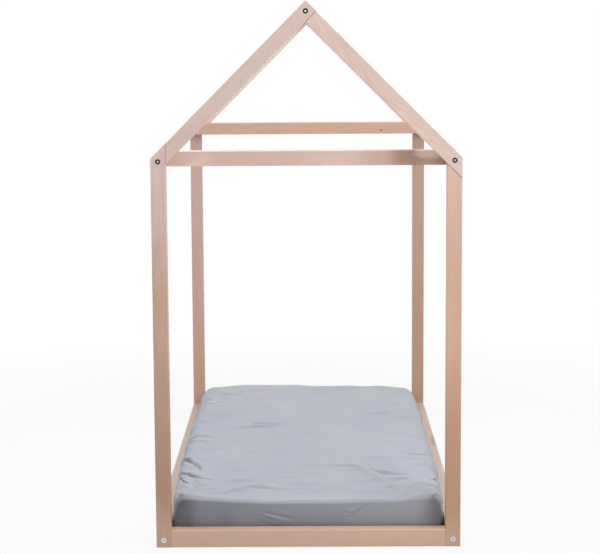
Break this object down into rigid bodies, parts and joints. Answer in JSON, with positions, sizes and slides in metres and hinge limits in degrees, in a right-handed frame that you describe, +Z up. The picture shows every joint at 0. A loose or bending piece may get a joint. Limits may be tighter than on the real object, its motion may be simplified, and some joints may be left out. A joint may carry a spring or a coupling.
{
  "type": "house frame bed",
  "caption": "Low child's bed in a house-shaped timber frame: gables with posts and rafters, ridge beam, rails, slatted base, and a mattress in a fitted sheet.",
  "frame": {"origin": "centre of the bed's outline at floor level", "axes": "+Z up; +Y along the bed from the front (foot) gable to the rear (head) gable; +X across the bed, to the right when the front gable is looked at from outside"},
  "size_m": [0.786, 1.486, 1.401],
  "materials": {
    "beech": "satin",
    "slat_wood": "matte",
    "dowel_wood": "matte",
    "roof_bolt": "satin",
    "foot_bolt": "satin",
    "fixing_steel": "satin",
    "webbing": "matte",
    "foam": "matte",
    "ticking": "matte",
    "sheet_cotton": "matte",
    "elastic": "matte"
  },
  "bodies": {
    "bed_frame": {"front_left_post": "beech", "front_right_post": "beech", "front_left_rafter": "beech", "front_right_rafter": "beech", "front_tie_beam": "beech", "front_end_rail": "beech", "rear_left_post": "beech", "rear_right_post": "beech", "rear_left_rafter": "beech", "rear_right_rafter": "beech", "rear_tie_beam": "beech", "rear_end_rail": "beech", "ridge_beam": "beech", "left_side_rail": "beech", "right_side_rail": "beech", "left_slat_ledger": "slat_wood", "right_slat_ledger": "slat_wood", "slat_01": "slat_wood", "slat_02": "slat_wood", "slat_03": "slat_wood", "slat_04": "slat_wood", "slat_05": "slat_wood", "slat_06": "slat_wood", "slat_07": "slat_wood", "slat_08": "slat_wood", "slat_09": "slat_wood", "slat_10": "slat_wood", "slat_11": "slat_wood", "slat_12": "slat_wood", "slat_13": "slat_wood", "slat_14": "slat_wood", "left_slat_strap": "webbing", "right_slat_strap": "webbing", "ridge_bolts": "roof_bolt", "eave_bolts": "roof_bolt", "side_rail_bolts": "foot_bolt", "end_rail_bolts": "foot_bolt", "ridge_barrel_nuts": "fixing_steel", "side_rail_barrel_nuts": "fixing_steel", "end_rail_barrel_nuts": "fixing_steel", "tie_beam_inserts": "fixing_steel", "ledger_screws": "fixing_steel", "slat_screws": "fixing_steel", "strap_staples": "fixing_steel", "ridge_dowels": "dowel_wood", "tie_beam_dowels": "dowel_wood", "side_rail_dowels": "dowel_wood", "end_rail_dowels": "dowel_wood"},
    "mattress": {"mattress_core": "foam", "mattress_cover": "ticking", "fitted_sheet": "sheet_cotton", "sheet_elastic": "elastic"}
  },
  "joints": [
    {"name": "mattress_lift", "type": "slide", "parent": "bed_frame", "child": "mattress", "axis": [0, 0, 1], "range_m": [0, 0.3]}
  ]
}
